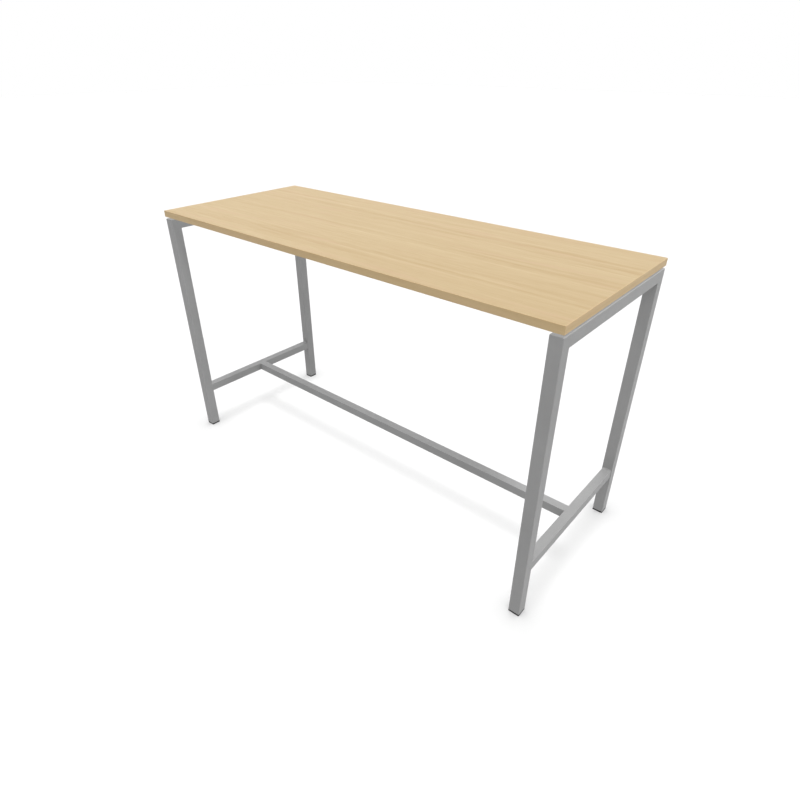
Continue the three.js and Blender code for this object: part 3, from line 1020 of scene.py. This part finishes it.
# %% Name the layers of the oak print
# Each layer: the length and width of its cells in metres, its detail and its bend.
LAYERS = {
    "drift": (1.2, 0.11, 2.0, 0.0),
    "group": (2.2, 0.13, 1.0, 0.0),
    "streak": (1.8, 0.04, 2.0, 0.2),
    "flame": (1.3, 0.045, 1.0, 0.0),
    "warp": (0.42, 0.07, 2.0, 0.0),
    "wisp": (0.2, 0.016, 2.5, 1.0),
    "dash": (0.055, 0.0085, 1.0, 0.6),
    "fibre": (0.09, 0.0011, 2.0, 0.0),
    "pore": (0.014, 0.0006, 1.0, 0.0),
    "blush": (0.5, 0.05, 2.0, 0.0),
}
# How much each layer moves the tone.
SHARES = {"drift": 0.2, "streak": 1.0, "flame": 0.05, "wisp": 0.55, "dash": 0.3, "fibre": 0.35}
CALM, LIVELY = 0.4, 1.3
FLAME_WAVES, WARP_WAVES = 40, 9
PORE_SHARE, BLUSH_SHARE = 0.25, 0.5
# Between which values of its noise a layer sets in, and where each tone lies on the ramp.
GROUP_STEP, BLUSH_STEP, PORE_STEP = (0.4, 0.6), (0.5, 0.75), (0.66, 0.78)
TONE_PLACES = {"dark": 0.15, "middle": 0.5, "light": 0.85}
# The satin sheen, and how fibres and pores change the gloss and the relief.
OAK_SHEEN = 0.1
FIBRE_GLOSS, PORE_GLOSS = 0.12, 0.05
FIBRE_RELIEF, PORE_RELIEF = 0.6, 0.5
RELIEF_DEPTH, RELIEF_STRENGTH = 0.05 * MM, 0.25

print("layers of the print", list(LAYERS))

# %% Print the oak


def oak(turn, tones, seed, roughness):
    """The inputs of an oak print whose grain lies along x before it is turned.

    The tone is the ramp's middle plus each layer's swing about its mean, times its share. Streaks and
    wisps swing more where the group layer is high.
    """

    def inputs(nodes):
        def layer(name, *offset):
            length, width, detail, bend = LAYERS[name]
            return noise(nodes, turn, (length, width, width), detail, offset, bend)

        def swing(name, value):
            return (value - NOISE_MEAN) * SHARES[name]

        fibre = layer("fibre", seed, 0, seed)
        lively = step(nodes, layer("group", seed, seed, 1), *GROUP_STEP, CALM, LIVELY)
        grouped = swing("streak", layer("streak", 0, seed, 0)) + swing("wisp", layer("wisp", seed, 1, 0))
        waves = layer("flame", seed, seed, 0) * FLAME_WAVES + layer("warp", 0, 0, seed) * WARP_WAVES
        slow = swing("drift", layer("drift", seed, 0, 0)) + waves.sine() * SHARES["flame"]
        short = swing("dash", layer("dash", seed, 2, 0)) + swing("fibre", fibre)
        tone = TONE_PLACES["middle"] + slow + grouped * lively + short
        stops = [(place, tones[name]) for name, place in TONE_PLACES.items()]
        colour = nodes.add("ValToRGB", {"stops": stops}, {"Fac": tone})
        rosy = step(nodes, layer("blush", seed, 0, 1), *BLUSH_STEP)
        colour = mix(nodes, rosy * BLUSH_SHARE, colour, tones["blush"])
        pores = step(nodes, layer("pore", 0, seed, seed), *PORE_STEP)
        colour = mix(nodes, pores * PORE_SHARE, colour, tones["dark"])
        relief = fibre * FIBRE_RELIEF - pores * PORE_RELIEF
        return {
            "Base Color": colour,
            "Roughness": vary(roughness, fibre, FIBRE_GLOSS) + pores * PORE_GLOSS,
            "Specular IOR Level": OAK_SHEEN,
            "Normal": bump(nodes, relief, RELIEF_DEPTH, RELIEF_STRENGTH),
        }

    return inputs


print("the print has", len(SHARES), "layers that move its tone")

# %% Face the board
OAK_TONES = {
    "dark": screen(197, 169, 126),
    "middle": screen(206, 182, 141),
    "light": screen(214, 192, 152),
    "blush": screen(209, 179, 144),
}
BOARD_SEED = 8.0
BOARD_ROUGHNESS = 0.5
BACKING_GREY = screen(190, 190, 189)
BACKING_DEEP = screen(183, 183, 182)
BACKING_THICK = 0.2 * MM
BACKING_FLECK, FLECK_STEP = (3 * MM, 3.0), (0.35, 0.65)


def faced_board(nodes):
    """The oak print, and on the board's underside a grey sheet with a faint paper fleck."""
    inputs = oak(0, OAK_TONES, BOARD_SEED, BOARD_ROUGHNESS)(nodes)
    fleck = step(nodes, even_noise(nodes, *BACKING_FLECK), *FLECK_STEP)
    sheet = mix(nodes, fleck, BACKING_DEEP, BACKING_GREY)
    edge = top_low[2] + BACKING_THICK
    below = step(nodes, height_of(nodes), edge, edge + BACKING_THICK, 1.0, 0.0)
    inputs["Base Color"] = mix(nodes, below, inputs["Base Color"], sheet)
    return inputs


oak_decor = new_finish("oak_decor", faced_board)

# %% [markdown]
# ## Edge strip decor
#
# The strips are plastic and carry the same print, painted in lighter tones than the board's: painted light
# that makes up for the less light on the upright strips. Its grain follows each strip, so the short strips
# turn the pattern by a quarter.

# %% Make the strip decor for both directions
# Painted light: these tones are lighter than the board's, so that the upright strips render brighter.
STRIP_TONES_PAINTED_LIGHTER = {
    "dark": screen(208, 179, 134),
    "middle": screen(218, 191, 147),
    "light": screen(226, 200, 157),
    "blush": screen(221, 189, 150),
}
LONG_SEED, SHORT_SEED = 7.0, 5.0
STRIP_ROUGHNESS = 0.45

strip_along = new_finish("oak_strip_along", oak(0, STRIP_TONES_PAINTED_LIGHTER, LONG_SEED, STRIP_ROUGHNESS))
strip_across = new_finish("oak_strip_across", oak(QUARTER, STRIP_TONES_PAINTED_LIGHTER, SHORT_SEED, STRIP_ROUGHNESS))

# %% [markdown]
# ## Powder coat
#
# The frame has a silver-grey powder coat. The powder melts into a skin with a faint orange peel, carries
# fine metal flakes, and draws back a little from the tube's corners, which hands and shoes then polish.
# The corner measure that was kept with each tube says where that is.

# %% Make the powder coat
COAT_GREY = screen(173, 173, 173)
COAT_DEEP = screen(160, 160, 160)
COAT_FLAKE = screen(196, 196, 195)
COAT_CORNER = screen(179, 179, 179)
# The cell size and detail of each pattern.
COAT_CLOUD, COAT_GRAIN = (160 * MM, 3.0), (0.7 * MM, 1.0)
COAT_PEEL, COAT_WEAR = (1.6 * MM, 2.0), (50 * MM, 4.0)
GREY_STEP, FLAKE_STEP, WEAR_STEP = (0.3, 0.7), (0.6, 0.72), (0.4, 0.7)
CLOUD_SHARE, FLAKE_SHARE, WORN_SHARE = 0.4, 0.7, 0.8
COAT_ROUGHNESS, COAT_METAL, COAT_SHEEN = 0.42, 0.06, 0.1
CLOUD_GLOSS, FLAKE_GLOSS, WORN_GLOSS = 0.1, 0.1, 0.08
PEEL_DEPTH, PEEL_STRENGTH = 0.06 * MM, 0.4


def powder_coat(nodes):
    """Inputs of the coat: mottled grey with bright flakes, peel in the normal, paler and smoother corners."""
    cloud, grain = even_noise(nodes, *COAT_CLOUD), even_noise(nodes, *COAT_GRAIN)
    peel, wear_noise = even_noise(nodes, *COAT_PEEL), even_noise(nodes, *COAT_WEAR)
    flake = step(nodes, grain, *FLAKE_STEP)
    corner = nodes.add("Attribute", {"attribute_name": "edge"}, output="Fac")
    worn = corner * step(nodes, wear_noise, *WEAR_STEP)
    mottle = step(nodes, cloud * CLOUD_SHARE + grain * (1 - CLOUD_SHARE), *GREY_STEP)
    grey = mix(nodes, mottle, COAT_DEEP, COAT_GREY)
    speckled = mix(nodes, flake * FLAKE_SHARE, grey, COAT_FLAKE)
    return {
        "Base Color": mix(nodes, worn * WORN_SHARE, speckled, COAT_CORNER),
        "Metallic": COAT_METAL,
        "Specular IOR Level": COAT_SHEEN,
        "Roughness": vary(COAT_ROUGHNESS, cloud, CLOUD_GLOSS) - flake * FLAKE_GLOSS - worn * WORN_GLOSS,
        "Normal": bump(nodes, peel, PEEL_DEPTH, PEEL_STRENGTH),
    }


frame_coat = new_finish("frame_coat", powder_coat)

# %% [markdown]
# ## Moulded plastic
#
# Spacers, inserts and glides are moulded in black plastic. The mould was etched, so the surface is matt
# with a fine grain, and the soles have picked up some pale scuffs.

# %% Make the black plastic
PLASTIC_BLACK = screen(18, 18, 19)
PLASTIC_SCUFF = screen(46, 45, 44)
ETCH = (0.5 * MM, 2.0)
ETCH_GLOSS, ETCH_DEPTH, ETCH_STRENGTH = 0.2, 0.04 * MM, 0.3
SMEAR_CELLS, SMEAR_DETAIL = (20 * MM, 4 * MM, 10 * MM), 4.0
SCUFF_TOP, SCUFF_LEAST, SCUFF_STEP = 4 * MM, 0.15, (0.55, 0.75)
SCUFF_SHARE, SCUFF_GLOSS = 0.6, 0.1
PLASTIC_ROUGHNESS, PLASTIC_SHEEN = 0.7, 0.12


def moulded(nodes):
    """Inputs of the plastic: etched grain in the normal, and scuffs that fade with height."""
    etch = even_noise(nodes, *ETCH)
    smear = noise(nodes, 0, SMEAR_CELLS, SMEAR_DETAIL)
    low = step(nodes, height_of(nodes), 0.0, SCUFF_TOP, 1.0, SCUFF_LEAST)
    scuff = step(nodes, smear, *SCUFF_STEP) * low
    return {
        "Base Color": mix(nodes, scuff * SCUFF_SHARE, PLASTIC_BLACK, PLASTIC_SCUFF),
        "Roughness": vary(PLASTIC_ROUGHNESS, etch, ETCH_GLOSS) - scuff * SCUFF_GLOSS,
        "Specular IOR Level": PLASTIC_SHEEN,
        "Normal": bump(nodes, etch, ETCH_DEPTH, ETCH_STRENGTH),
    }


black_plastic = new_finish("black_plastic", moulded)

# %% [markdown]
# ## Plated and bare steel
#
# Screws and spindles are zinc plated: bright, with a faint blue or straw tint that drifts over them and
# fine marks from the tumbling drum. The stubs inside the long members are plain steel with a dull skin.

# %% Make the plated steel
ZINC_BLUE = screen(196, 202, 210)
ZINC_STRAW = screen(208, 205, 196)
ZINC_TINT, TINT_STEP = (6 * MM, 2.0), (0.35, 0.65)
ZINC_MARK = (0.9 * MM, 3.0)
ZINC_ROUGHNESS, MARK_GLOSS = 0.27, 0.25
MARK_DEPTH, MARK_STRENGTH = 0.02 * MM, 0.15


def plated(nodes):
    """Inputs of the zinc: tint drifts over some millimetres, and small marks vary the gloss."""
    tint, mark = even_noise(nodes, *ZINC_TINT), even_noise(nodes, *ZINC_MARK)
    return {
        "Base Color": mix(nodes, step(nodes, tint, *TINT_STEP), ZINC_BLUE, ZINC_STRAW),
        "Metallic": 1.0,
        "Roughness": vary(ZINC_ROUGHNESS, mark, MARK_GLOSS),
        "Normal": bump(nodes, mark, MARK_DEPTH, MARK_STRENGTH),
    }


zinc_steel = new_finish("zinc_steel", plated)

# %% Make the bare steel
STEEL_PALE = screen(176, 176, 177)
STEEL_DARK = screen(138, 136, 134)
DRAWN_CELLS, DRAWN_DETAIL = (50 * MM, 0.8 * MM, 0.8 * MM), 2.0
SKIN_CELLS, SKIN_DETAIL, SKIN_STEP = (20 * MM, 12 * MM, 12 * MM), 4.0, (0.4, 0.65)
STEEL_ROUGHNESS, DRAWN_GLOSS = 0.42, 0.3
DRAWN_DEPTH, DRAWN_STRENGTH = 0.02 * MM, 0.2


def bare(nodes):
    """Inputs of the bare steel: drawn lengthwise, with darker skin in patches."""
    drawn = noise(nodes, 0, DRAWN_CELLS, DRAWN_DETAIL)
    skin = noise(nodes, 0, SKIN_CELLS, SKIN_DETAIL)
    return {
        "Base Color": mix(nodes, step(nodes, skin, *SKIN_STEP), STEEL_PALE, STEEL_DARK),
        "Metallic": 1.0,
        "Roughness": vary(STEEL_ROUGHNESS, drawn, DRAWN_GLOSS),
        "Normal": bump(nodes, drawn, DRAWN_DEPTH, DRAWN_STRENGTH),
    }


bare_steel = new_finish("bare_steel", bare)

# %% [markdown]
# ## Who wears what
#
# A new piece has no material yet. The board and the stubs stay as modelled, because their shapes are
# flat or hidden, and only get their finish through their material slots.

# %% Give every piece its finish


def wear(pieces, material):
    """Gives meshes without a material their finish."""
    for piece in pieces:
        piece.data.materials.clear()
        piece.data.materials.append(material)


def refinish(nodes, material):
    """Changes the material in the slots of nodes that stay in view."""
    for node in nodes:
        for place in frame["nodes"][node].material_slots:
            place.material = material


wear(long_strips, strip_along)
wear(short_strips, strip_across)
wear(legs + top_rails + foot_rails + [footrest] + stretchers + welds, frame_coat)
wear(spacers + foot_inserts + glides, black_plastic)
wear(lock_screws + fixing_screws + spindles, zinc_steel)
refinish(["top_panel"], oak_decor)
refinish(nodes_like("spigot_"), bare_steel)

# %% [markdown]
# ## Floor
#
# The table stands on a plain white floor that melts into a white background. The floor glows a little by
# itself, and two lamps of its own, which come with the light below, bring it to white, so shadows stay
# faint. It throws no light on the table, because the surround's light from below stands for that, and it
# is open from below, so the feet can be looked at from there.

# %% Lay the floor
WHITE = (1, 1, 1, 1)
FLOOR_HALF = 30.0
FLOOR_DROP = 0.3 * MM
FLOOR_GLOW = 0.131
FLOOR_PALE = (0.40, 0.40, 0.40, 1)


def floor_shader(nodes):
    """Glow plus a pale diffuse part from above, and nothing at all from below."""
    glow = nodes.add("Emission", {}, {"Color": WHITE, "Strength": FLOOR_GLOW})
    pale = nodes.add("BsdfDiffuse", {}, {"Color": FLOOR_PALE})
    upper = nodes.add("AddShader", {}, {0: glow, 1: pale})
    below = nodes.add("NewGeometry", output="Backfacing")
    clear = nodes.add("BsdfTransparent")
    return nodes.add("MixShader", {}, {0: below, 1: upper, 2: clear})


floor_mesh = bpy.data.meshes.new("floor")
floor_mesh.from_pydata([(x, y, -FLOOR_DROP) for x, y in FLOOR_HALF * CORNERS], [], [(0, 1, 2, 3)])
floor = new_object(floor_mesh)
floor.visible_diffuse = False
floor.visible_shadow = False
wear([floor], new_material("floor", floor_shader))
print("floor", 2 * FLOOR_HALF, "m wide")

# %% [markdown]
# ## Light
#
# The photograph has soft light from above, which also reaches the frame under the top, a weaker lamp high
# on the right, a little to the front, that the top does shade, and light that the white floor throws up.
# Three sources stand for these, and their strengths were fitted to the tones of the frame's faces.
# Two more lamps light only the floor. The narrow one draws the thin shadows of the beam and the rails,
# and the wide one the round shadows at the feet.

# %% Set up the studio light
SKY_LAMP, SKY_WIDTH = 0.70, 150
SUN_LAMP, SUN_WIDTH, SUN_TILT, SUN_TURN = 0.345, 12, 22, 17
FLOOR_BOUNCE = 0.60
DIM_SKY = 0.05
HORIZON = 0.25
RAIL_LAMP, RAIL_WIDTH = 0.82, 27
FOOT_LAMP, FOOT_WIDTH = 1.45, 60


def tent(nodes):
    """White for the camera, in mirrors and through glass; as light, bright from below and dim from above."""
    soft = step(nodes, height_of(nodes, "Generated"), -HORIZON, HORIZON, FLOOR_BOUNCE, DIM_SKY)
    light_ray = 1.0
    for seen in ("Is Camera Ray", "Is Glossy Ray", "Is Transmission Ray"):
        light_ray = light_ray * (1 - nodes.add("LightPath", output=seen))
    strength = 1 - light_ray * (1 - soft)
    return nodes.add("Background", {}, {"Color": WHITE, "Strength": strength})


def group(name, members):
    """A collection that only says which objects a lamp reaches or is blocked by."""
    collection = bpy.data.collections.new(name)
    for member in members:
        collection.objects.link(member)
    return collection


def lamp(name, share, width, lit, blockers, tilt=0, turn=0):
    """A sun lamp: a share of full light from a disc of sky as wide as its width in degrees.

    The disc is straight above, or tilted from there towards +X and then turned towards the front.
    """
    data = bpy.data.lights.new(name, "SUN")
    data.energy = share * math.pi
    data.angle = math.radians(width)
    sun = new_object(data)
    sun.rotation_euler = (0, math.radians(tilt), math.radians(-turn))
    sun.light_linking.receiver_collection = lit
    sun.light_linking.blocker_collection = blockers
    return sun


world = bpy.data.worlds.new("tent")
bpy.context.scene.world = world
world_nodes = Nodes(world)
world_nodes.add("OutputWorld", {}, {"Surface": tent(world_nodes)})
board = [frame["nodes"]["top_panel"]] + long_strips + short_strips
spigots = [frame["nodes"][node] for node in nodes_like("spigot_")]
low_frame = legs + foot_rails + [footrest] + foot_inserts
fittings = spigots + spacers + lock_screws + fixing_screws + glides + spindles
under_board = group("under_board", low_frame + top_rails + stretchers + welds + fittings)
whole_table = group("whole_table", board + list(under_board.objects))
lit_floor = group("lit_floor", [floor])
rail_shadows = group("rail_shadows", low_frame)
foot_shadows = group("foot_shadows", legs + foot_inserts)
lamps = [
    lamp("sky_lamp", SKY_LAMP, SKY_WIDTH, whole_table, under_board),
    lamp("sun_lamp", SUN_LAMP, SUN_WIDTH, whole_table, whole_table, SUN_TILT, SUN_TURN),
    lamp("rail_lamp", RAIL_LAMP, RAIL_WIDTH, lit_floor, rail_shadows),
    lamp("foot_lamp", FOOT_LAMP, FOOT_WIDTH, lit_floor, foot_shadows),
]
bpy.context.scene.view_settings.view_transform = "Standard"
print("lamps", [sun.name for sun in lamps])

# %% [markdown]
# ## Camera
#
# The camera stands at the front right, above the top, with a wide lens. Its place and its two angles
# were found by fitting the straight edges of the table to the photograph, to about half a pixel.

# %% Place the camera
EYE = (1.40732, -1.54292, 1.59129)
YAW = 0.7091
PITCH = -0.5454
LENS = 25.5385

camera_data = bpy.data.cameras.new("camera")
camera_data.lens = LENS
camera = new_object(camera_data)
camera.location = EYE
camera.rotation_euler = (QUARTER + PITCH, 0, YAW)
bpy.context.scene.camera = camera
print("lens", LENS, "mm at", EYE)
